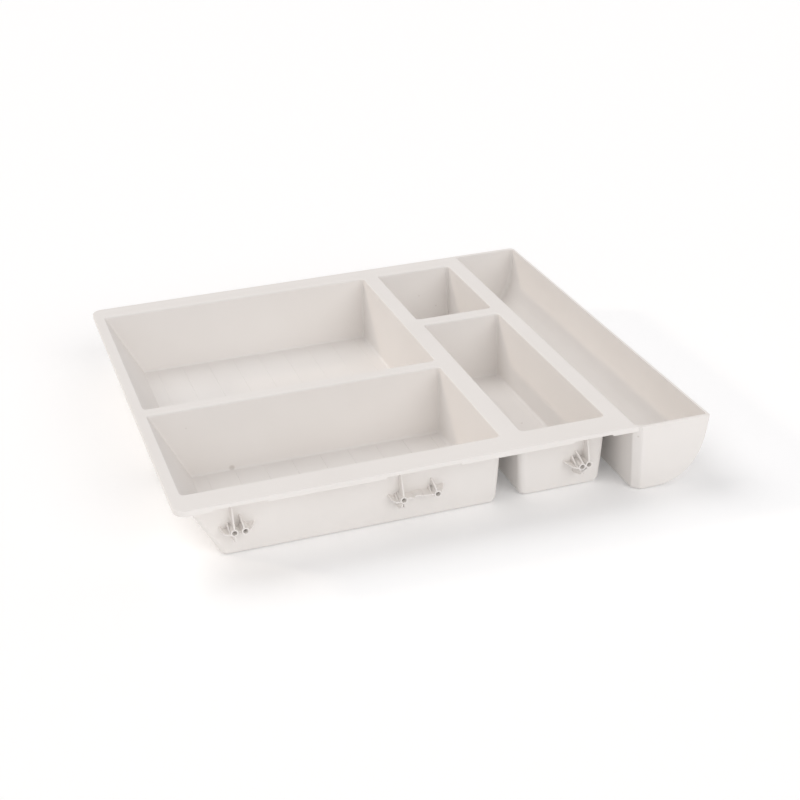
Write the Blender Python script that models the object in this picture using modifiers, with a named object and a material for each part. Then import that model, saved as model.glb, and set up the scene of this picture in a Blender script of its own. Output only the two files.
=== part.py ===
"""Drawer organizer insert: a shallow moulded tray with four wells, a pen trough and slide bosses.

Metres, +Z up. The origin is under the middle of the tray, on the surface it stands on.
+X points across the wells towards the pen trough, -Y towards the edge that carries the slide bosses.
The real tray is one moulding. Its features are separate bodies here, with a hairline gap between them.
"""
import math

import bmesh
import bpy
from mathutils import Matrix, Vector

# ---- driving dimensions -------------------------------------------------------------------------
WIDTH = 0.394            # left edge of the deck to the outside of the trough
DECK_DEPTH = 0.376       # front edge of the deck to its back edge
DECK_WIDTH = 0.336       # left edge of the deck to the trough's inner edge
HEIGHT = 0.056
END_STEP = 0.0028        # the trough's front end stands this far in front of the deck
WALL = 0.0025
GAP = 0.0003             # hairline between neighbouring bodies

SKIRT_DROP = 0.0046      # deck top to the bottom of its skirt
SKIRT_WALL = 0.0022
DECK_CORNER_R = 0.009
NOTCH_RISE = 0.0013      # the skirt is this much shallower above each boss group

END_DRAFT = math.tan(math.radians(8))      # front and back walls
SIDE_DRAFT = math.tan(math.radians(4))     # upright side walls
RAMP_DRAFT = math.tan(math.radians(27))    # sloping left walls of the two large wells
WELL_R = 0.0045                            # inner corners and floor edges of the wells

# each well's opening, from the deck's front left corner: left, right, front, back, left wall's draft
WELLS = {
    "large_front_well": (0.0082, 0.2395, 0.0225, 0.1518, RAMP_DRAFT),
    "large_back_well": (0.0080, 0.2405, 0.1635, 0.3560, RAMP_DRAFT),
    "medium_front_well": (0.2560, 0.3220, 0.0240, 0.2345, SIDE_DRAFT),
    "small_back_well": (0.2545, 0.3215, 0.2478, 0.3560, SIDE_DRAFT),
}

TROUGH_FLAT_X = 0.346    # the trough's flat bottom ends here and its curved side begins
TROUGH_POWER = 3.0       # the curved side is a superellipse of this power
TROUGH_DRAFT = 0.05      # and leans in by this much of its depth
TROUGH_FOOT_R = 0.005
TROUGH_CORNER_R = 0.008  # the trough's front left corner, seen from above
END_CAP = 0.0115         # length of the trough's end bodies at the top

BOSS_SETBACK = 0.015     # boss faces lie this far inside the deck's edge
BOSS_DROP = 0.0328       # deck top to the boss axes
BOSS_R = 0.0028
BOSS_HOLE_R = 0.0017
BOSS_HOLE_DEPTH = 0.0062
RIB_T = 0.0009
FIN_T = 0.0012

# boss groups: boss axes from the deck's left edge, the boss whose fin reaches the deck, and ribs as
# (boss, angle up from +X in degrees, reach)
BOSS_GROUPS = {
    "left": ((0.0416, 0.0493), 0,
             ((0, 165, 0.0090), (0, 262, 0.0085), (0, 128, 0.0075), (1, 112, 0.0110), (1, 22, 0.0078),
              (1, 235, 0.0060))),
    "middle": ((0.1637, 0.1892), 0,
               ((0, 172, 0.0100), (0, 132, 0.0085), (0, 245, 0.0095), (0, 285, 0.0085), (1, 112, 0.0095),
                (1, 158, 0.0085), (1, 15, 0.0065), (1, 250, 0.0060))),
    "right": ((0.3009, 0.3064), 1,
              ((0, 172, 0.0120), (0, 118, 0.0095), (0, 238, 0.0070), (0, 295, 0.0065), (1, 40, 0.0060))),
}

LEFT = -WIDTH / 2
FRONT = END_STEP - (DECK_DEPTH + END_STEP) / 2      # the deck's front edge
BACK = FRONT + DECK_DEPTH
UNDERSIDE = HEIGHT - WALL
SEAM = UNDERSIDE - GAP                              # where the bodies under the deck end
PLASTIC = (0.78, 0.74, 0.70)


# ---- scene, collections and materials -----------------------------------------------------------
def clear_scene():
    for obj in list(bpy.data.objects):
        bpy.data.objects.remove(obj, do_unlink=True)


def new_collection(name):
    collection = bpy.data.collections.new(name)
    bpy.context.scene.collection.children.link(collection)
    return collection


def plastic(name, shade=1.0):
    material = bpy.data.materials.new(name)
    material.use_nodes = True
    bsdf = material.node_tree.nodes["Principled BSDF"]
    bsdf.inputs["Base Color"].default_value = (*(c * shade for c in PLASTIC), 1.0)
    bsdf.inputs["Roughness"].default_value = 0.45
    bsdf.inputs["Metallic"].default_value = 0.0
    return material


clear_scene()
TRAY = new_collection("drawer_organizer_insert")
CUTTERS = new_collection("cutters")


def add_object(name, bm, collection):
    bmesh.ops.recalc_face_normals(bm, faces=bm.faces)
    mesh = bpy.data.meshes.new(name)
    bm.to_mesh(mesh)
    bm.free()
    obj = bpy.data.objects.new(name, mesh)
    collection.objects.link(obj)
    return obj


def add_part(name, bm, shade=1.0):
    obj = add_object(name, bm, TRAY)
    obj.data.materials.append(plastic(name + "_plastic", shade))
    return obj


def add_cutter(name, bm):
    obj = add_object(name, bm, CUTTERS)
    obj.hide_render = True
    obj.display_type = "WIRE"
    return obj


def boolean(obj, operation, cutter):
    modifier = obj.modifiers.new(operation.lower() + "_" + cutter.name, "BOOLEAN")
    modifier.operation = operation
    modifier.object = cutter
    modifier.solver = "EXACT"


# ---- basic bodies --------------------------------------------------------------------------------
def box_bm(low, high):
    """A box between two corners."""
    bm = bmesh.new()
    bmesh.ops.create_cube(bm, size=1.0)
    low, high = Vector(low), Vector(high)
    size = high - low
    bmesh.ops.scale(bm, vec=size, verts=bm.verts)
    bmesh.ops.translate(bm, vec=(low + high) / 2, verts=bm.verts)
    return bm


def upright_edges(bm):
    return [e for e in bm.edges if abs(e.verts[0].co.z - e.verts[1].co.z) > 1e-5]


def well_rect(well, z):
    """The well's inner left, right, front and back at height z, in the part's frame."""
    left, right, front, back, left_draft = WELLS[well]
    down = HEIGHT - z
    return (LEFT + left + left_draft * down, LEFT + right - SIDE_DRAFT * down,
            FRONT + front + END_DRAFT * down, FRONT + back - END_DRAFT * down)


def tapered_box_bm(well, z_low, z_high):
    """The well's inner space between two heights, with sharp edges."""
    bm = box_bm((-1, -1, z_low), (1, 1, z_high))
    for vert in bm.verts:
        left, right, front, back = well_rect(well, vert.co.z)
        vert.co.x = left if vert.co.x < 0 else right
        vert.co.y = front if vert.co.y < 0 else back
    return bm


# ---- deck and skirt ------------------------------------------------------------------------------
def rounded_plate_bm(inset, z_low, z_high):
    """A plate of the deck's outline, rounded at its two left corners."""
    bm = box_bm((LEFT + inset, FRONT + inset, z_low), (LEFT + DECK_WIDTH, BACK - inset, z_high))
    left_edges = [e for e in upright_edges(bm) if e.verts[0].co.x < 0]
    bmesh.ops.bevel(bm, geom=left_edges, offset=DECK_CORNER_R - inset, segments=6, profile=0.5,
                    affect="EDGES")
    return bm


def make_deck():
    deck = add_part("deck_flange", rounded_plate_bm(0, UNDERSIDE, HEIGHT))
    for well in WELLS:
        bm = tapered_box_bm(well, UNDERSIDE - 0.002, HEIGHT + 0.002)
        bmesh.ops.bevel(bm, geom=upright_edges(bm), offset=WELL_R, segments=5, profile=0.5, affect="EDGES")
        boolean(deck, "DIFFERENCE", add_cutter("opening_" + well, bm))


def make_skirt():
    """The lip that hangs under the deck's front, left and back edges."""
    skirt = add_part("edge_skirt", rounded_plate_bm(0, HEIGHT - SKIRT_DROP, SEAM), 0.97)
    boolean(skirt, "DIFFERENCE",
            add_cutter("skirt_inside", rounded_plate_bm(SKIRT_WALL, HEIGHT - 2 * SKIRT_DROP, HEIGHT)))
    skirt_end = LEFT + DECK_WIDTH - WALL - 2 * GAP
    boolean(skirt, "DIFFERENCE",
            add_cutter("skirt_end", box_bm((skirt_end, -WIDTH, 0), (WIDTH, WIDTH, 2 * HEIGHT))))
    notch_top = HEIGHT - SKIRT_DROP + NOTCH_RISE
    margin = 0.0145
    for name, (axes, _, _) in BOSS_GROUPS.items():
        low = (LEFT + axes[0] - margin, FRONT - 0.01, 0)
        high = (LEFT + axes[1] + margin, FRONT + SKIRT_WALL + 0.002, notch_top)
        boolean(skirt, "DIFFERENCE", add_cutter("notch_" + name, box_bm(low, high)))


# ---- wells ---------------------------------------------------------------------------------------
def make_well(name):
    """An open pan hung under the deck: inner surface, thickened outwards, with its rim cut level."""
    bm = tapered_box_bm(name, WALL, HEIGHT)
    lid = [f for f in bm.faces if f.normal.z > 0.9 and f.calc_center_median().z > UNDERSIDE]
    bmesh.ops.delete(bm, geom=lid, context="FACES_ONLY")
    edges = [e for e in bm.edges if not e.is_boundary]
    bmesh.ops.bevel(bm, geom=edges, offset=WELL_R, segments=4, profile=0.5, affect="EDGES")
    well = add_part(name, bm, 0.95)
    thicken = well.modifiers.new("wall", "SOLIDIFY")
    thicken.thickness = WALL
    thicken.offset = 1.0
    thicken.use_even_offset = True
    boolean(well, "DIFFERENCE",
            add_cutter("rim_" + name, box_bm((-WIDTH, -WIDTH, SEAM), (WIDTH, WIDTH, 2 * HEIGHT))))


# ---- pen trough ----------------------------------------------------------------------------------
def trough_outline(inset):
    """The trough's section as (x, z) points, from its left top round the bottom to its right top."""
    left_top = LEFT + DECK_WIDTH - WALL + inset
    foot_z = inset
    foot_r = TROUGH_FOOT_R - min(inset, TROUGH_FOOT_R / 2)
    foot_x = left_top + SIDE_DRAFT * (HEIGHT - foot_z)
    points = [(left_top, HEIGHT)]
    for i in range(5):
        angle = math.radians(180 + 90 * i / 4)
        points.append((foot_x + foot_r * (1 + math.cos(angle)), foot_z + foot_r * (1 + math.sin(angle))))
    centre_x = LEFT + TROUGH_FLAT_X
    reach = WIDTH - TROUGH_FLAT_X - inset
    drop = HEIGHT - inset
    steps = 16
    for i in range(steps + 1):
        angle = math.pi / 2 * (1 - i / steps)
        depth = drop * math.sin(angle) ** (2 / TROUGH_POWER)
        lean = TROUGH_DRAFT * depth
        x = centre_x + (reach - lean) * math.cos(angle) ** (2 / TROUGH_POWER)
        points.append((x, HEIGHT - depth))
    return points


def section_prism_bm(points, y_low, y_high):
    """A closed (x, z) outline extruded along Y."""
    bm = bmesh.new()
    verts = [bm.verts.new((x, y_low, z)) for x, z in points]
    face = bm.faces.new(verts)
    extruded = bmesh.ops.extrude_face_region(bm, geom=[face])
    moved = [g for g in extruded["geom"] if isinstance(g, bmesh.types.BMVert)]
    bmesh.ops.translate(bm, vec=(0, y_high - y_low, 0), verts=moved)
    return bm


def drafted_slab_bm(front_inset, back_inset):
    """The space between two drafted end planes, each moved inwards from the trough's outer ends."""
    bm = box_bm((-WIDTH, -1, -0.01), (WIDTH, 1, HEIGHT + 0.01))
    for vert in bm.verts:
        down = HEIGHT - vert.co.z
        front = FRONT - END_STEP + front_inset + END_DRAFT * down
        back = BACK - back_inset - END_DRAFT * down
        vert.co.y = front if vert.co.y < 0 else back
    return bm


def corner_cutter(name, inset):
    """What lies outside the rounded corner between the trough's left wall and its front end."""
    left = LEFT + DECK_WIDTH - WALL + inset
    front = FRONT - END_STEP + inset
    radius = TROUGH_CORNER_R - inset
    margin = 0.01
    overlap = 0.00002        # the arc crosses the flat walls instead of only touching them
    outline = [(left - margin, front + radius), (left - margin, front - margin),
               (left + radius, front - margin)]
    for i in range(8):
        angle = math.radians(270 - 90 * i / 7)
        outline.append((left + radius - overlap + radius * math.cos(angle),
                        front + radius - overlap + radius * math.sin(angle)))
    low, high = -0.01, HEIGHT + 0.012
    bm = bmesh.new()
    rings = []
    for z in (low, high):
        down = HEIGHT - z
        rings.append([bm.verts.new((x + SIDE_DRAFT * down, y + END_DRAFT * down, z)) for x, y in outline])
    bm.faces.new(rings[0])
    bm.faces.new(rings[1])
    for i in range(len(outline)):
        j = (i + 1) % len(outline)
        bm.faces.new((rings[0][i], rings[0][j], rings[1][j], rings[1][i]))
    return add_cutter(name, bm)


def make_trough():
    """A middle length of trough and its two end bodies, which carry the end walls and corners."""
    far = DECK_DEPTH
    outer = trough_outline(0)
    inner = [(x, z + 0.01 * (z > UNDERSIDE)) for x, z in trough_outline(WALL)]
    under_deck = box_bm((-WIDTH, -far, SEAM), (LEFT + DECK_WIDTH + GAP, far, 2 * HEIGHT))
    deck_cutter = add_cutter("trough_under_deck", under_deck)

    cavity = add_cutter("trough_cavity", section_prism_bm(inner, -far, far))
    boolean(cavity, "INTERSECT", add_cutter("inside_ends", drafted_slab_bm(WALL, WALL)))
    boolean(cavity, "DIFFERENCE", corner_cutter("inner_corner", WALL))
    outer_corner = corner_cutter("outer_corner", 0)
    outer_ends = add_cutter("outer_ends", drafted_slab_bm(0, 0))
    middle = drafted_slab_bm(END_CAP + GAP, END_CAP + GAP)
    end_splitter = add_cutter("between_end_bodies", drafted_slab_bm(END_CAP, END_CAP))

    shell = add_part("trough_shell", section_prism_bm(outer, -far, far), 0.97)
    boolean(shell, "INTERSECT", add_cutter("middle_length", middle))
    boolean(shell, "DIFFERENCE", cavity)
    boolean(shell, "DIFFERENCE", deck_cutter)

    for name, y_low, y_high in (("trough_front_end", -far, 0), ("trough_back_end", 0, far)):
        end = add_part(name, section_prism_bm(outer, y_low, y_high), 1.0)
        boolean(end, "INTERSECT", outer_ends)
        boolean(end, "DIFFERENCE", end_splitter)
        if y_high == 0:
            boolean(end, "DIFFERENCE", outer_corner)
        boolean(end, "DIFFERENCE", cavity)
        boolean(end, "DIFFERENCE", deck_cutter)


# ---- slide bosses --------------------------------------------------------------------------------
def cylinder_bm(x, z, radius, y_low, y_high, segments=20):
    bm = bmesh.new()
    bmesh.ops.create_cone(bm, cap_ends=True, segments=segments, radius1=radius, radius2=radius,
                          depth=y_high - y_low)
    turn = Matrix.Rotation(math.radians(90), 4, "X")
    bmesh.ops.transform(bm, matrix=Matrix.Translation((x, (y_low + y_high) / 2, z)) @ turn, verts=bm.verts)
    return bm


def gusset_bm(x, z, angle, reach, y_face, y_deep):
    """A thin triangular rib: full height at the boss, none at its tip against the wall."""
    bm = bmesh.new()
    bmesh.ops.create_cone(bm, cap_ends=True, segments=3, radius1=1, radius2=1, depth=RIB_T)
    along = Vector((math.cos(angle), 0, math.sin(angle)))
    across = Vector((-math.sin(angle), 0, math.cos(angle)))
    corners = [v.co.copy() for v in bm.verts if v.co.z > 0]
    wanted = [Vector((0, y_face, 0)), Vector((0, y_deep, 0)), along * reach + Vector((0, y_deep, 0))]
    for vert in bm.verts:
        index = min(range(3), key=lambda i: (corners[i].xy - vert.co.xy).length)
        vert.co = Vector((x, 0, z)) + wanted[index] + across * vert.co.z
    return bm


def make_boss_group(side, group):
    """Bosses, ribs and a fin on the outside of a front or back wall, ending at that drafted wall."""
    axes, fin_boss, ribs = BOSS_GROUPS[group]
    z = HEIGHT - BOSS_DROP
    y_face = FRONT + BOSS_SETBACK
    y_deep = y_face + 0.014
    bosses = [cylinder_bm(LEFT + x, z, BOSS_R, y_face, y_deep) for x in axes]
    pieces = []
    fin_x = LEFT + axes[fin_boss]
    pieces.append(box_bm((fin_x - FIN_T / 2, y_face + 0.0002, z), (fin_x + FIN_T / 2, y_deep, SEAM)))
    pieces.append(box_bm((LEFT + axes[0], y_face + 0.0006, z - RIB_T / 2),
                         (LEFT + axes[1], y_deep, z + RIB_T / 2)))
    for boss, angle, reach in ribs:
        pieces.append(gusset_bm(LEFT + axes[boss], z, math.radians(angle), BOSS_R + reach,
                                y_face + 0.0004, y_deep))
    holes = [cylinder_bm(LEFT + x, z, BOSS_HOLE_R, y_face - 0.002, y_face + BOSS_HOLE_DEPTH) for x in axes]
    wall_y = wall_plane(side, group)
    behind = box_bm((-WIDTH, 0, -0.01), (WIDTH, 1, HEIGHT + 0.01))
    for vert in behind.verts:
        if vert.co.y < 0.5:
            vert.co.y = wall_y - GAP + END_DRAFT * (HEIGHT - vert.co.z)

    mirror = Matrix.Diagonal((1, 1 if side == "front" else -1, 1, 1))
    shift = Matrix.Translation((0, 0 if side == "front" else FRONT + BACK, 0))
    for bm in bosses + pieces + holes + [behind]:
        bmesh.ops.transform(bm, matrix=shift @ mirror, verts=bm.verts)

    name = side + "_slide_bosses_" + group
    node = add_part(name, bosses[0], 0.92)
    for i, bm in enumerate(bosses[1:] + pieces):
        boolean(node, "UNION", add_cutter(name + "_rib_" + str(i), bm))
    for i, bm in enumerate(holes):
        boolean(node, "DIFFERENCE", add_cutter(name + "_hole_" + str(i), bm))
    boolean(node, "DIFFERENCE", add_cutter(name + "_wall", behind))


def wall_plane(side, group):
    """Where the outer face of the wall behind a boss group meets the deck's top, seen from the front."""
    if side == "front":
        well = "medium_front_well" if group == "right" else "large_front_well"
        opening = WELLS[well][2]
    else:
        well = "small_back_well" if group == "right" else "large_back_well"
        opening = DECK_DEPTH - WELLS[well][3]
    return FRONT + opening - WALL * math.sqrt(1 + END_DRAFT ** 2)


# ---- build ---------------------------------------------------------------------------------------
make_deck()
make_skirt()
for well_name in WELLS:
    make_well(well_name)
make_trough()
for wall_side in ("front", "back"):
    for boss_group in BOSS_GROUPS:
        make_boss_group(wall_side, boss_group)
bpy.context.view_layer.update()
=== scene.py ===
"""Looks of the drawer organizer insert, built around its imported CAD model."""

import math

import bmesh
import bpy
from mathutils import Matrix, Vector


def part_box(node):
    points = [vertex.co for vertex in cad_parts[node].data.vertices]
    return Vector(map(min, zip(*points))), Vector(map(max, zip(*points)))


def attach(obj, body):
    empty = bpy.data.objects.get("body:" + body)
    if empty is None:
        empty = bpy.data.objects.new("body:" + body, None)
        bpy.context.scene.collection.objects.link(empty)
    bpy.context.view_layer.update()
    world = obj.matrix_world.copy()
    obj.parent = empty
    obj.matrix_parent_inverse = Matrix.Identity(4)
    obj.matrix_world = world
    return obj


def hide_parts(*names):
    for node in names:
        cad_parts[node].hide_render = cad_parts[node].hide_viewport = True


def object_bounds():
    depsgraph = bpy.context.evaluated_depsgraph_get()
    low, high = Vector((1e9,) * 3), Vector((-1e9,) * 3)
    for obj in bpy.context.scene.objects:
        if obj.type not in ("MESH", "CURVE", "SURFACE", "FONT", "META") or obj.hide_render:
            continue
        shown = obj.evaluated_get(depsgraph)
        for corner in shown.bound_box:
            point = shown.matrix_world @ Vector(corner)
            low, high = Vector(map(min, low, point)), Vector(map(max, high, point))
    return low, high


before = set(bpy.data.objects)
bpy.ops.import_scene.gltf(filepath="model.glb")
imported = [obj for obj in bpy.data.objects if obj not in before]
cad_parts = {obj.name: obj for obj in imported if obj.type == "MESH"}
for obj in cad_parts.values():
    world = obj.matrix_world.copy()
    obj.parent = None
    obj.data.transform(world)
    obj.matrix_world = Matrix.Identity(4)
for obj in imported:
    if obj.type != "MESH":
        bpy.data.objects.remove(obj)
CAD_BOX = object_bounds()

# ---- dimensions, in metres -----------------------------------------------------------------------
MM = 0.001
HEIGHT = CAD_BOX[1].z
WALL = 2.5 * MM
DECK_LOW, DECK_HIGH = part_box("deck_flange")
TROUGH_LOW, TROUGH_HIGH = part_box("trough_shell")
TROUGH_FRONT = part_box("trough_front_end")[0].y
TROUGH_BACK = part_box("trough_back_end")[1].y
LEFT, FRONT, RIGHT, BACK = DECK_LOW.x, DECK_LOW.y, DECK_HIGH.x, DECK_HIGH.y
SKIRT_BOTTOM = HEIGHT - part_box("edge_skirt")[0].z
SKIRT_WALL = 2.2 * MM
NOTCH_RISE = 1.3 * MM
DECK_CORNER_R = 9 * MM
DECK_EDGE_R = 0.5 * MM
RIM_R = 1.0 * MM
FLOOR_DEPTH = HEIGHT - WALL

END_DRAFT = math.tan(math.radians(8))
SIDE_DRAFT = math.tan(math.radians(4))
RAMP_DRAFT = math.tan(math.radians(27))
WELL_NODES = {
    "large_front_well": RAMP_DRAFT,
    "large_back_well": RAMP_DRAFT,
    "medium_front_well": SIDE_DRAFT,
    "small_back_well": SIDE_DRAFT,
}
NOTCHES = ((25.8 * MM, 63 * MM), (147.5 * MM, 202 * MM), (287.5 * MM, 317.5 * MM))
LARGE_WELLS_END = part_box("large_back_well")[1].x
FLOOR_LINES = 9
FIRST_FLOOR_LINE = 46.7 * MM
FLOOR_LINE_PITCH = 22.5 * MM
FLOOR_LINE_WIDTH = 0.4 * MM
FLOOR_LINE_DEPTH = 0.3 * MM
TROUGH_CENTRE_X = RIGHT + 10 * MM
TROUGH_POWER = 3.0
TROUGH_LEAN = 0.05
BACK_RIM_R = 2 * MM                      # the wells' back rims are rounder
CORNER_FADE = 8 * MM                     # a well's corners tighten over this depth
WELL_RIM_CORNERS = (3.5 * MM, 4 * MM, 4.5 * MM, 3 * MM)     # in the order of CORNERS
WELL_DEEP_CORNER = 1.4 * MM
WELL_FOOT_R = 2.3 * MM
OUTER_CORNER_R = 5 * MM
OUTER_LEFT_FOOT_R = 4 * MM
OUTER_RAMP_FOOT_R = 2.2 * MM
OUTER_RIGHT_FOOT_R = 6.5 * MM
OUTER_END_FOOT_R = 2 * MM                # front and back
UNDER_DECK_R = 0.5 * MM                  # where the outer walls meet the deck's underside
TROUGH_RIM_R = 0.8 * MM
TROUGH_EDGE_R = 1.2 * MM                 # top edge of the curved wall, outside
TROUGH_FOOT_R = 2.5 * MM
TROUGH_END_INSET = 3 * MM                # end walls' thickness at the top
FACET_BULGE = 0.1                        # the trough's facet: 0 is flat, 1 is fully round
ARC = 6                                  # segments in a quarter turn
CORNERS = ((180, -1, -1), (270, 1, -1), (0, 1, 1), (90, -1, 1))     # start angle and side signs


def new_object(name, bm):
    """A mesh object made from bm, with its normals facing out."""
    bmesh.ops.remove_doubles(bm, verts=bm.verts, dist=1e-6)
    bmesh.ops.recalc_face_normals(bm, faces=bm.faces)
    mesh = bpy.data.meshes.new(name)
    bm.to_mesh(mesh)
    bm.free()
    obj = bpy.data.objects.new(name, mesh)
    bpy.context.scene.collection.objects.link(obj)
    return obj


# ---- walls as stacks of level slices -------------------------------------------------------------
def flat_wall(draft, top=0.0, bottom=FLOOR_DEPTH, rim_r=0.0, foot_r=0.0):
    """How far a drafted wall has moved inwards at a depth, with a rounded rim and a rounded foot."""
    cosine = 1 / math.sqrt(1 + draft * draft)
    sine = draft * cosine

    def inset(depth):
        below_rim = depth - top
        above_foot = bottom - depth
        if below_rim < rim_r * (1 - sine):
            centre = draft * (top + rim_r) - rim_r / cosine
            return centre + math.sqrt(max(rim_r ** 2 - (rim_r - below_rim) ** 2, 0))
        if above_foot < foot_r * (1 - sine):
            centre = draft * (bottom - foot_r) + foot_r / cosine
            return centre - math.sqrt(max(foot_r ** 2 - (foot_r - above_foot) ** 2, 0))
        return draft * depth

    return inset, draft


def curved_wall(reach, bottom, rim_r):
    """The trough's curved side: a leaning superellipse, inset from its reach at the top."""
    def inset(depth):
        part = min(max(depth / bottom, 0), 1)
        across = (1 - part ** TROUGH_POWER) ** (1 / TROUGH_POWER)
        rounding = rim_r - math.sqrt(max(rim_r ** 2 - max(rim_r - depth, 0) ** 2, 0))
        return reach - (reach - TROUGH_LEAN * depth) * across + rounding

    return inset, None


def levels(top, bottom, rim_r, foot_r, extra=()):
    """Depths for the slices: close together in the rim and the foot."""
    depths = {top, bottom, *extra}
    for i in range(ARC + 1):
        bend = 1 - math.cos(math.radians(90 * i / ARC))
        depths.add(top + rim_r * bend)
        depths.add(bottom - foot_r * bend)
    for i in range(1, 4):
        depths.add(top + rim_r + (bottom - foot_r - top - rim_r) * i / 4)
    ordered = [top]
    for depth in sorted(depths):
        if depth - ordered[-1] > 0.04 * MM:
            ordered.append(depth)
    ordered[-1] = bottom
    return ordered


def slice_points(rect, walls, corner_radii, depth, facet=None):
    """The rounded rectangle (left, front, right, back) that the four walls leave at one depth.

    A corner is (radius at the rim, radius deep down, fading depth); one of them may be a flat facet.
    """
    insets = [wall[0](depth) for wall in walls]
    excess = [0 if draft is None else inset - draft * depth for inset, (_, draft) in zip(insets, walls)]
    x = {-1: rect[0] + insets[0], 1: rect[2] - insets[2]}
    y = {-1: rect[1] + insets[1], 1: rect[3] - insets[3]}
    beside = ((0, 1), (2, 1), (2, 3), (0, 3))
    points = []
    for (start, sign_x, sign_y), sides, corner in zip(CORNERS, beside, corner_radii):
        at_rim, deep, fade = corner
        radius = deep + (at_rim - deep) * math.exp(-depth / fade)
        radius = max(radius - (excess[sides[0]] + excess[sides[1]]) / 2, 0.15 * MM)
        for i in range(ARC + 1):
            angle = math.radians(start + 90 * i / ARC)
            reach_x, reach_y = math.cos(angle), math.sin(angle)
            if facet is not None and facet == len(points) // (ARC + 1):
                flatter = FACET_BULGE + (1 - FACET_BULGE) / (abs(reach_x) + abs(reach_y))
                reach_x *= flatter
                reach_y *= flatter
            points.append((x[sign_x] - sign_x * radius + radius * reach_x,
                           y[sign_y] - sign_y * radius + radius * reach_y, HEIGHT - depth))
    return points


def steady(radius):
    """A corner with the same radius at every depth."""
    return (radius, radius, 1.0)


def add_ring(bm, points):
    return [bm.verts.new(p) for p in points]


def bridge(bm, ring_a, ring_b):
    for i in range(len(ring_a)):
        j = (i + 1) % len(ring_a)
        bm.faces.new((ring_a[i], ring_a[j], ring_b[j], ring_b[i]))


def add_stack(bm, rect, walls, corner_radii, depths, facet=None):
    """Joins the slices at these depths into a surface, closes its bottom and returns its top ring."""
    rings = [add_ring(bm, slice_points(rect, walls, corner_radii, d, facet)) for d in depths]
    for upper, lower in zip(rings, rings[1:]):
        bridge(bm, upper, lower)
    bm.faces.new(rings[-1])
    return rings[0]


def ring_edges(bm, ring):
    return [bm.edges.get((ring[i], ring[(i + 1) % len(ring)])) or
            bm.edges.new((ring[i], ring[(i + 1) % len(ring)])) for i in range(len(ring))]


def fill_between(bm, rings):
    """Fills the flat sheet inside the first ring and outside the others."""
    edges = [edge for ring in rings for edge in ring_edges(bm, ring)]
    bmesh.ops.triangle_fill(bm, edges=edges, use_beauty=True, use_dissolve=False, normal=(0, 0, 1))


# ---- deck, skirt and wells -----------------------------------------------------------------------
def well_opening(node, left_draft):
    """The well's opening at deck level, (left, front, right, back), from its CAD body."""
    low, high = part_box(node)
    rim = HEIGHT - high.z

    def outwards(draft):
        return WALL * math.sqrt(1 + draft * draft) - draft * rim

    return (low.x + outwards(left_draft), low.y + outwards(END_DRAFT),
            high.x - outwards(SIDE_DRAFT), high.y - outwards(END_DRAFT))


def deck_outline(inset):
    """The deck's outline, counter-clockwise from above, as (x, y, kind of edge).

    The kind is 1 in a notch of the skirt, -1 along the trough and 0 elsewhere.
    """
    points = []
    radius = DECK_CORNER_R - inset
    corner_x = LEFT + DECK_CORNER_R
    for i in range(ARC + 3):
        angle = math.radians(180 + 90 * i / (ARC + 2))
        points.append((corner_x + radius * math.cos(angle),
                       FRONT + DECK_CORNER_R + radius * math.sin(angle), 0))
    for start, end in ((LEFT + a, LEFT + b) for a, b in NOTCHES):
        points += [(start - 0.6 * MM, FRONT + inset, 0), (start, FRONT + inset, 1),
                   (end, FRONT + inset, 1), (end + 0.3 * MM, FRONT + inset, 0)]
    points += [(RIGHT + 1.5 * MM, FRONT + inset, 0), (RIGHT - 1.5 * MM, FRONT + 3.2 * MM, -1),
               (RIGHT - 1.5 * MM, BACK - 4 * MM, -1), (RIGHT - 0.5 * MM, BACK - inset, 0)]
    for i in range(ARC + 3):
        angle = math.radians(90 + 90 * i / (ARC + 2))
        points.append((corner_x + radius * math.cos(angle),
                       BACK - DECK_CORNER_R + radius * math.sin(angle), 0))
    return points


def deck_ring(bm, inset, depth):
    """One level of the deck's edge. Notches are shallower, and the trough's side has no skirt."""
    points = []
    for x, y, kind in deck_outline(inset):
        level = depth
        if kind == 1 and depth > SKIRT_BOTTOM - NOTCH_RISE:
            level = depth - NOTCH_RISE
        if kind == -1:
            level = min(depth, WALL)
        points.append((x, y, HEIGHT - level))
    return add_ring(bm, points)


def cut_floor_lines(bm):
    """Shallow V grooves across the floors of the two large wells, evenly spaced along X."""
    for i in range(FLOOR_LINES):
        x = LEFT + FIRST_FLOOR_LINE + i * FLOOR_LINE_PITCH
        for offset in (-0.5 * FLOOR_LINE_WIDTH, 0.5 * FLOOR_LINE_WIDTH, 0):
            floors = [f for f in bm.faces if abs(f.calc_center_median().z - WALL) < 0.3 * MM
                      and f.normal.z ** 2 > 0.8 and f.calc_center_median().x < LARGE_WELLS_END]
            geometry = floors + list({e for f in floors for e in f.edges})
            geometry += list({v for f in floors for v in f.verts})
            bmesh.ops.bisect_plane(bm, geom=geometry, plane_co=(x + offset, 0, 0), plane_no=(1, 0, 0),
                                   dist=1e-6)
        for vert in bm.verts:
            if abs(vert.co.x - x) < 1e-6 and abs(vert.co.z - WALL) < 1e-5:
                vert.co.z -= FLOOR_LINE_DEPTH


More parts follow.
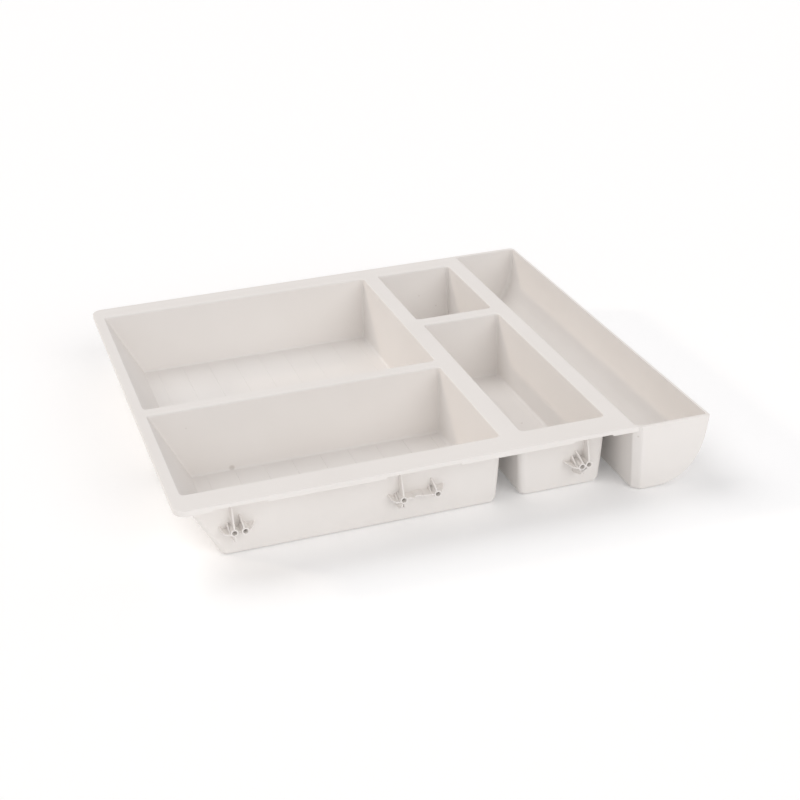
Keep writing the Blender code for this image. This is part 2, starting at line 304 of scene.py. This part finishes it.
def make_deck_and_wells():
    bm = bmesh.new()
    rings = []
    for i in range(ARC + 1):
        angle = math.radians(90 * i / ARC)
        inset = DECK_EDGE_R * (1 - math.sin(angle))
        rings.append(deck_ring(bm, inset, DECK_EDGE_R * (1 - math.cos(angle))))
    lip = 0.4 * MM
    rings.append(deck_ring(bm, 0, SKIRT_BOTTOM - lip))
    rings.append(deck_ring(bm, 0.3 * lip, SKIRT_BOTTOM - 0.3 * lip))
    rings.append(deck_ring(bm, lip, SKIRT_BOTTOM))
    rings.append(deck_ring(bm, SKIRT_WALL, SKIRT_BOTTOM))
    underside = add_ring(bm, [(x, y, HEIGHT - WALL) for x, y, _ in deck_outline(SKIRT_WALL)])
    rings.append(underside)
    for upper, lower in zip(rings, rings[1:]):
        bridge(bm, upper, lower)

    top_rings, under_rings = [rings[0]], [underside]
    for node, left_draft in WELL_NODES.items():
        rect = well_opening(node, left_draft)
        drafts = (left_draft, END_DRAFT, SIDE_DRAFT, END_DRAFT)
        rims = (RIM_R, RIM_R, RIM_R, BACK_RIM_R)
        inside = [flat_wall(d, 0, FLOOR_DEPTH, rim, WELL_FOOT_R) for d, rim in zip(drafts, rims)]
        back_depths = levels(0, FLOOR_DEPTH, BACK_RIM_R, WELL_FOOT_R)
        depths = levels(0, FLOOR_DEPTH, RIM_R, WELL_FOOT_R, back_depths)
        corners = [(radius, WELL_DEEP_CORNER, CORNER_FADE) for radius in WELL_RIM_CORNERS]
        top_rings.append(add_stack(bm, rect, inside, corners, depths))
        outer = [WALL * math.sqrt(1 + d * d) for d in drafts]
        outer_rect = (rect[0] - outer[0], rect[1] - outer[1], rect[2] + outer[2], rect[3] + outer[3])
        left_foot = OUTER_RAMP_FOOT_R if left_draft == RAMP_DRAFT else OUTER_LEFT_FOOT_R
        feet = (left_foot, OUTER_END_FOOT_R, OUTER_RIGHT_FOOT_R, OUTER_END_FOOT_R)
        outside = [flat_wall(d, WALL, HEIGHT, UNDER_DECK_R, foot) for d, foot in zip(drafts, feet)]
        right_depths = levels(WALL, HEIGHT, UNDER_DECK_R, OUTER_RIGHT_FOOT_R)
        depths = levels(WALL, HEIGHT, UNDER_DECK_R, OUTER_END_FOOT_R, right_depths)
        corners = [steady(OUTER_CORNER_R) for _ in CORNERS]
        corners[1] = (9 * MM, 1 * MM, 40 * MM)      # the front right corner tightens with depth
        under_rings.append(add_stack(bm, outer_rect, outside, corners, depths))
    fill_between(bm, top_rings)
    fill_between(bm, under_rings)
    cut_floor_lines(bm)
    return new_object("deck_and_wells", bm)


# ---- pen trough ----------------------------------------------------------------------------------
def make_trough():
    bm = bmesh.new()
    right = TROUGH_HIGH.x
    reach = right - TROUGH_CENTRE_X
    extra = [FLOOR_DEPTH * math.sin(math.radians(4.5 * i)) ** (2 / TROUGH_POWER) for i in range(1, 20)]
    end_wall = flat_wall(END_DRAFT, 0, FLOOR_DEPTH, TROUGH_RIM_R, 1.5 * MM)
    inside = [flat_wall(SIDE_DRAFT, 0, FLOOR_DEPTH, RIM_R, TROUGH_FOOT_R), end_wall,
              curved_wall(reach - WALL, FLOOR_DEPTH, 0), end_wall]
    rect = (RIGHT, TROUGH_FRONT + TROUGH_END_INSET, right - WALL, TROUGH_BACK - TROUGH_END_INSET)
    corners = [steady(radius) for radius in (5.5 * MM, 1.2 * MM, 4 * MM, 1.5 * MM)]
    depths = levels(0, FLOOR_DEPTH, RIM_R, TROUGH_FOOT_R, extra)
    inner_top = add_stack(bm, rect, inside, corners, depths)

    extra = [HEIGHT * math.sin(math.radians(4.5 * i)) ** (2 / TROUGH_POWER) for i in range(1, 20)]
    end_wall = flat_wall(END_DRAFT, 0, HEIGHT, 0, 2 * MM)
    outside = [flat_wall(SIDE_DRAFT, 0, HEIGHT, 0, TROUGH_FOOT_R), end_wall,
               curved_wall(reach, HEIGHT, TROUGH_EDGE_R), end_wall]
    rect = (RIGHT - WALL, TROUGH_FRONT, right, TROUGH_BACK)
    corners = [steady(radius) for radius in (6.2 * MM, 2.2 * MM, 4 * MM, 1 * MM)]
    depths = levels(0, HEIGHT, TROUGH_EDGE_R, TROUGH_FOOT_R, extra)
    outer_top = add_stack(bm, rect, outside, corners, depths, facet=0)
    bridge(bm, inner_top, outer_top)
    return new_object("trough", bm)


def join(base, other):
    """Unites two closed bodies into the first one's mesh."""
    union = base.modifiers.new("union", "BOOLEAN")
    union.operation = "UNION"
    union.solver = "EXACT"
    union.object = other
    graph = bpy.context.evaluated_depsgraph_get()
    mesh = bpy.data.meshes.new_from_object(base.evaluated_get(graph))
    base.modifiers.clear()
    base.data = mesh
    bpy.data.objects.remove(other, do_unlink=True)


# ---- screw bosses --------------------------------------------------------------------------------
BOSS_R = 2.8 * MM
BOSS_FOOT_R = 3.2 * MM
HOLE_R = 1.7 * MM
HOLE_DEPTH = 6 * MM
BOSS_FACE = 15 * MM                      # behind the deck's front edge
BOSS_DROP = 32.8 * MM                    # deck top to the boss axes
RIB_T = 1.0 * MM

# Each group: boss axes as (x from the deck's left edge, z), then ribs as (boss, path of (x, z) from
# its axis, power), all in millimetres. The front edge falls back to the wall as the path's length to
# that power; with power 0 it stays near the boss faces.
BOSS_GROUPS = {
    "left": (((41.6, 0), (49.3, 0)), (
        (0, ((-2.3, -0.6), (-7.6, -1.8), (-9.0, 2.6)), 3.2),
        (0, ((-3.2, -0.6), (-3.2, 2.0), (-3.5, 5.0)), 1),
        (0, ((0.2, -2.4), (0.5, -6.0), (0.8, -11.0)), 6),
        (0, ((2.4, -0.1), (3.8, -0.6), (5.3, 0.0)), 0),
        (0, ((3.9, -0.3), (3.5, -1.6), (2.8, -3.2)), 1.5),
        (0, ((0.0, 2.4), (0.0, 14.0), (0.0, 29.9)), 1.5),
        (1, ((-0.8, 2.3), (-1.4, 6.0), (-2.1, 10.3)), 2.2),
        (1, ((2.4, 0.2), (6.2, -0.2), (8.4, 2.0)), 1.4),
        (1, ((-1.0, -2.2), (-1.6, -3.2), (-2.2, -4.6)), 1.5))),
    "middle": (((163.7, 0), (189.2, 0)), (
        (0, ((-2.3, -0.6), (-7.6, -1.6), (-9.0, 2.0)), 3.2),
        (0, ((-4.0, -0.5), (-3.7, 1.0), (-3.5, 2.6)), 1),
        (0, ((-0.9, -2.3), (-1.8, -5.0), (-2.6, -9.2)), 5),
        (0, ((0.5, -2.3), (1.0, -5.0), (0.6, -8.6)), 5),
        (0, ((2.4, 0.4), (5.0, 0.2), (8.2, 0.2)), 0),
        (0, ((8.2, 0.2), (9.0, 1.2), (14.4, 0.7)), 0),
        (0, ((14.4, 0.7), (17.6, -1.0), (23.2, 0.3)), 0),
        (0, ((0.0, 2.4), (-0.2, 14.0), (-0.3, 29.9)), 1.5),
        (1, ((-0.8, 2.3), (-1.6, 6.0), (-2.4, 9.9)), 2.2),
        (1, ((-4.4, -1.0), (-4.0, 1.2), (-3.6, 4.0)), 1),
        (1, ((2.2, 1.0), (5.0, 1.2), (7.0, 2.8)), 1.5),
        (1, ((-0.6, -2.3), (-1.0, -3.2), (-1.3, -4.4)), 1.5),
        (1, ((-1.8, -1.6), (-2.8, -2.2), (-3.6, -3.2)), 1.5))),
    "right": (((300.9, -0.9), (306.2, 0)), (
        (0, ((0.6, 2.3), (-0.2, 6.0), (-1.3, 9.6)), 1.6),
        (0, ((-2.3, -0.4), (-7.6, -0.6), (-10.8, 2.2)), 2),
        (0, ((-3.4, 0.0), (-3.8, 2.6), (-4.0, 5.6)), 1),
        (0, ((-0.4, -2.4), (-0.5, -3.6), (-0.4, -4.9)), 0),
        (0, ((4.6, -1.6), (4.4, -5.0), (-0.4, -4.9)), 0),
        (0, ((-0.4, -4.9), (-1.0, -7.2), (-2.5, -8.8)), 2.5),
        (0, ((-0.4, -4.9), (2.0, -7.4), (4.2, -9.4)), 2.5),
        (0, ((2.2, 0.6), (2.7, 0.8), (3.2, 0.9)), 0),
        (1, ((0.0, 2.4), (0.5, 14.0), (0.9, 29.9)), 1.5),
        (1, ((2.2, -1.0), (3.2, -1.4), (4.4, -2.2)), 2))),
}


def bezier(points, t):
    (ax, az), (bx, bz), (cx, cz) = points
    s = 1 - t
    return (s * s * ax + 2 * s * t * bx + t * t * cx, s * s * az + 2 * s * t * bz + t * t * cz)


def add_rib(bm, path, power, face_y, wall_y):
    """A thin rib whose front edge falls back from the boss face to the wall along its path."""
    steps = 10
    rings = []
    for i in range(steps + 1):
        t = i / steps
        x, z = bezier(path, t)
        ahead, behind = bezier(path, min(t + 0.02, 1)), bezier(path, max(t - 0.02, 0))
        along = Vector((ahead[0] - behind[0], ahead[1] - behind[1])).normalized()
        back = wall_y(z) + 0.5 * MM
        fall = t ** power if power else 0.15 * math.sin(math.pi * t)
        front = min(face_y + 0.3 * MM + (wall_y(z) - face_y) * fall, back - 0.1 * MM)
        ring = []
        for y, side, thick in ((front, -1, RIB_T), (front, 1, RIB_T), (back, 1, 1.5 * RIB_T),
                               (back, -1, 1.5 * RIB_T)):
            half = side * thick / 2
            ring.append(bm.verts.new((x - along.y * half, y, z + along.x * half)))
        rings.append(ring)
    for a, b in zip(rings, rings[1:]):
        bridge(bm, a, b)
    bm.faces.new(rings[0])
    bm.faces.new(rings[-1])


def add_boss(bm, x, z, face_y, wall_y):
    """A tapered screw boss with a blind hole and softened edges."""
    soft = 0.25 * MM
    base = wall_y(z) + 1.2 * MM
    profile = [(BOSS_FOOT_R, base), (BOSS_R, face_y + soft), (BOSS_R - 0.3 * soft, face_y + 0.3 * soft),
               (BOSS_R - soft, face_y), (HOLE_R + soft, face_y), (HOLE_R, face_y + soft),
               (HOLE_R - 0.1 * MM, face_y + HOLE_DEPTH)]
    rings = []
    for radius, y in profile:
        rings.append([bm.verts.new((x + radius * math.cos(math.tau * i / 36), y,
                                    z + radius * math.sin(math.tau * i / 36))) for i in range(36)])
    for a, b in zip(rings, rings[1:]):
        bridge(bm, a, b)
    bm.faces.new(rings[0])
    bm.faces.new(rings[-1])


def make_boss_group(side, group):
    """A boss group on the front wall, or its mirror image on the back wall."""
    places, ribs = BOSS_GROUPS[group]
    if side == "front":
        well = "medium_front_well" if group == "right" else "large_front_well"
        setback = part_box(well)[0].y - FRONT
    else:
        well = "small_back_well" if group == "right" else "large_back_well"
        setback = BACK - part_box(well)[1].y
    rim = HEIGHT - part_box(well)[1].z

    def wall_y(z):
        return setback + END_DRAFT * (HEIGHT - z - rim)

    bm = bmesh.new()
    axis_z = HEIGHT - BOSS_DROP
    centres = [(LEFT + x * MM, axis_z + z * MM) for x, z in places]
    for x, z in centres:
        add_boss(bm, x, z, BOSS_FACE, wall_y)
    for boss, path, power in ribs:
        moved = [(centres[boss][0] + x * MM, centres[boss][1] + z * MM) for x, z in path]
        add_rib(bm, moved, power, BOSS_FACE, wall_y)
    for vert in bm.verts:
        vert.co.y = FRONT + vert.co.y if side == "front" else BACK - vert.co.y
    return new_object(side + "_bosses_" + group, bm)


# ---- materials -----------------------------------------------------------------------------------
# Small marks as (centre from the deck's front left top corner, radius, shade)
MARKS = (
    ((67.5 * MM, 145 * MM, -52 * MM), 3 * MM, (0.80, 0.78, 0.76)),
    ((292 * MM, 352 * MM, -23.5 * MM), 1.2 * MM, (0.80, 0.78, 0.76)),
    ((307.5 * MM, 350.5 * MM, -35 * MM), 1.2 * MM, (0.84, 0.82, 0.80)),
    ((237.5 * MM, 147.5 * MM, -0.5 * MM), 1.3 * MM, (0.72, 0.70, 0.70)),
    ((302.5 * MM, 134 * MM, -53.5 * MM), 1.2 * MM, (0.84, 0.82, 0.80)),
    ((36.5 * MM, 149 * MM, -14.5 * MM), 1.2 * MM, (0.84, 0.82, 0.80)),
    ((337.5 * MM, 0.5 * MM, -9 * MM), 1.2 * MM, (0.84, 0.82, 0.80)),
)


def add_mark(nodes, links, place, colour, centre, radius, shade):
    """A small round mark on the moulding: the colour is multiplied by shade within the radius."""
    distance = nodes.new("ShaderNodeVectorMath")
    distance.operation = "DISTANCE"
    distance.inputs[1].default_value = (LEFT + centre[0], FRONT + centre[1], HEIGHT + centre[2])
    links.new(place.outputs["Object"], distance.inputs[0])
    fade = nodes.new("ShaderNodeMapRange")
    fade.interpolation_type = "SMOOTHSTEP"
    fade.inputs["From Min"].default_value = 0.4 * radius
    fade.inputs["From Max"].default_value = radius
    fade.inputs["To Min"].default_value = 1
    fade.inputs["To Max"].default_value = 0
    links.new(distance.outputs["Value"], fade.inputs["Value"])
    mix = nodes.new("ShaderNodeMix")
    mix.data_type = "RGBA"
    mix.blend_type = "MULTIPLY"
    mix.inputs["B"].default_value = (*shade, 1)
    links.new(fade.outputs["Result"], mix.inputs["Factor"])
    links.new(colour, mix.inputs["A"])
    return mix.outputs["Result"]


def plastic(name):
    """Pale warm grey moulded plastic with a fine matt skin."""
    material = bpy.data.materials.new(name)
    material.use_nodes = True
    nodes, links = material.node_tree.nodes, material.node_tree.links
    bsdf = nodes["Principled BSDF"]
    place = nodes.new("ShaderNodeTexCoord")

    mottle = nodes.new("ShaderNodeTexNoise")
    mottle.inputs["Scale"].default_value = 18
    mottle.inputs["Detail"].default_value = 3
    links.new(place.outputs["Object"], mottle.inputs["Vector"])
    ramp = nodes.new("ShaderNodeValToRGB")
    ramp.color_ramp.elements[0].position = 0.3
    ramp.color_ramp.elements[0].color = (0.832, 0.800, 0.770, 1)
    ramp.color_ramp.elements[1].position = 0.7
    ramp.color_ramp.elements[1].color = (0.850, 0.820, 0.792, 1)
    links.new(mottle.outputs["Fac"], ramp.inputs["Fac"])
    colour = ramp.outputs["Color"]
    for centre, radius, shade in MARKS:
        colour = add_mark(nodes, links, place, colour, centre, radius, shade)
    links.new(colour, bsdf.inputs["Base Color"])

    grain = nodes.new("ShaderNodeTexNoise")
    grain.inputs["Scale"].default_value = 1400
    grain.inputs["Detail"].default_value = 2
    links.new(place.outputs["Object"], grain.inputs["Vector"])
    bump = nodes.new("ShaderNodeBump")
    bump.inputs["Strength"].default_value = 0.25
    bump.inputs["Distance"].default_value = 0.00004
    links.new(grain.outputs["Fac"], bump.inputs["Height"])
    links.new(bump.outputs["Normal"], bsdf.inputs["Normal"])

    rough = nodes.new("ShaderNodeMapRange")
    rough.inputs["To Min"].default_value = 0.48
    rough.inputs["To Max"].default_value = 0.58
    links.new(mottle.outputs["Fac"], rough.inputs["Value"])
    links.new(rough.outputs["Result"], bsdf.inputs["Roughness"])
    bsdf.inputs["IOR"].default_value = 1.45
    bsdf.inputs["Specular IOR Level"].default_value = 0.3
    return material


PLASTIC = plastic("tray_plastic_skin")


def finish_piece(obj, *nodes):
    """Smooth shading with flat faces kept flat, the tray's plastic, and its place in the frame."""
    obj.data.materials.clear()
    obj.data.materials.append(PLASTIC)
    obj.data.polygons.foreach_set("use_smooth", [True] * len(obj.data.polygons))
    obj.data.set_sharp_from_angle(angle=math.radians(50))
    weighted = obj.modifiers.new("flat_faces_stay_flat", "WEIGHTED_NORMAL")
    weighted.mode = "FACE_AREA"
    weighted.weight = 60
    weighted.keep_sharp = True
    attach(obj, "root")
    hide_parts(*nodes)


# ---- camera, floor and lights --------------------------------------------------------------------
def add_camera():
    """Looks down on the tray from its front left. Azimuth counts from +X."""
    azimuth = math.radians(252.43)
    elevation = math.radians(25.83)
    roll = math.radians(-2.09)
    target = Vector((-4.9 * MM, -80.6 * MM, HEIGHT))
    distance = 1.1595
    level = math.cos(elevation)
    away = Vector((level * math.cos(azimuth), level * math.sin(azimuth), math.sin(elevation)))
    level_right = Vector((0, 0, 1)).cross(away).normalized()
    right = Matrix.Rotation(roll, 3, away) @ level_right
    turn = Matrix((right, away.cross(right), away)).transposed().to_4x4()

    data = bpy.data.cameras.new("camera")
    data.lens = 69.5
    data.sensor_width = 36
    data.clip_end = 100
    camera = bpy.data.objects.new("camera", data)
    camera.matrix_world = Matrix.Translation(target + distance * away) @ turn
    bpy.context.scene.collection.objects.link(camera)
    bpy.context.scene.camera = camera


# A soft studio: a high main light behind on the left, three broad fills and one small warm lamp, as
# (name, azimuth from +X, elevation, angular size, strength, colour)
WHITE = (1, 1, 1)
WARM = (1, 0.85, 0.7)
FLOOR_SIZE = 40                          # half its width
FLOOR_GAP = 0.5 * MM
LIGHTS = (
    ("light_main", 135, 55, 40, 1.0, WHITE),
    ("light_front", 290, 30, 40, 0.8, WHITE),
    ("light_right", 20, 30, 60, 0.3, WHITE),
    ("light_front_left", 235, 25, 60, 0.4, WHITE),
    ("light_lamp", 150, 25, 5, 0.4, WARM),
)


def add_sun(name, azimuth, elevation, spread, strength, colour):
    data = bpy.data.lights.new(name, "SUN")
    data.energy = strength
    data.color = colour
    data.angle = math.radians(spread)
    light = bpy.data.objects.new(name, data)
    turn, lift = math.radians(azimuth), math.radians(elevation)
    source = Vector((math.cos(lift) * math.cos(turn), math.cos(lift) * math.sin(turn), math.sin(lift)))
    light.rotation_euler = source.to_track_quat("Z", "Y").to_euler()
    bpy.context.scene.collection.objects.link(light)


def add_studio():
    bm = bmesh.new()
    bmesh.ops.create_grid(bm, x_segments=1, y_segments=1, size=FLOOR_SIZE)
    floor = new_object("floor", bm)
    floor.location.z = -FLOOR_GAP
    material = bpy.data.materials.new("floor_paper")
    material.use_nodes = True
    bsdf = material.node_tree.nodes["Principled BSDF"]
    bsdf.inputs["Base Color"].default_value = (0.95, 0.95, 0.95, 1)
    bsdf.inputs["Roughness"].default_value = 0.9
    bsdf.inputs["Specular IOR Level"].default_value = 0.1
    bsdf.inputs["Emission Color"].default_value = (1, 1, 1, 1)
    bsdf.inputs["Emission Strength"].default_value = 0.1
    floor.data.materials.append(material)

    world = bpy.data.worlds.new("studio")
    world.use_nodes = True
    world.node_tree.nodes["Background"].inputs["Color"].default_value = (1, 0.98, 0.99, 1)
    world.node_tree.nodes["Background"].inputs["Strength"].default_value = 0.42
    bpy.context.scene.world = world
    bpy.context.scene.view_settings.view_transform = "Standard"

    for settings in LIGHTS:
        add_sun(*settings)


# ---- assembly ------------------------------------------------------------------------------------
tray = make_deck_and_wells()
join(tray, make_trough())
tray.name = "moulded_tray"
finish_piece(tray, "deck_flange", "edge_skirt", *WELL_NODES, "trough_shell", "trough_front_end",
             "trough_back_end")
for wall_side in ("front", "back"):
    for boss_group in BOSS_GROUPS:
        bosses = make_boss_group(wall_side, boss_group)
        finish_piece(bosses, wall_side + "_slide_bosses_" + boss_group)

add_camera()
add_studio()
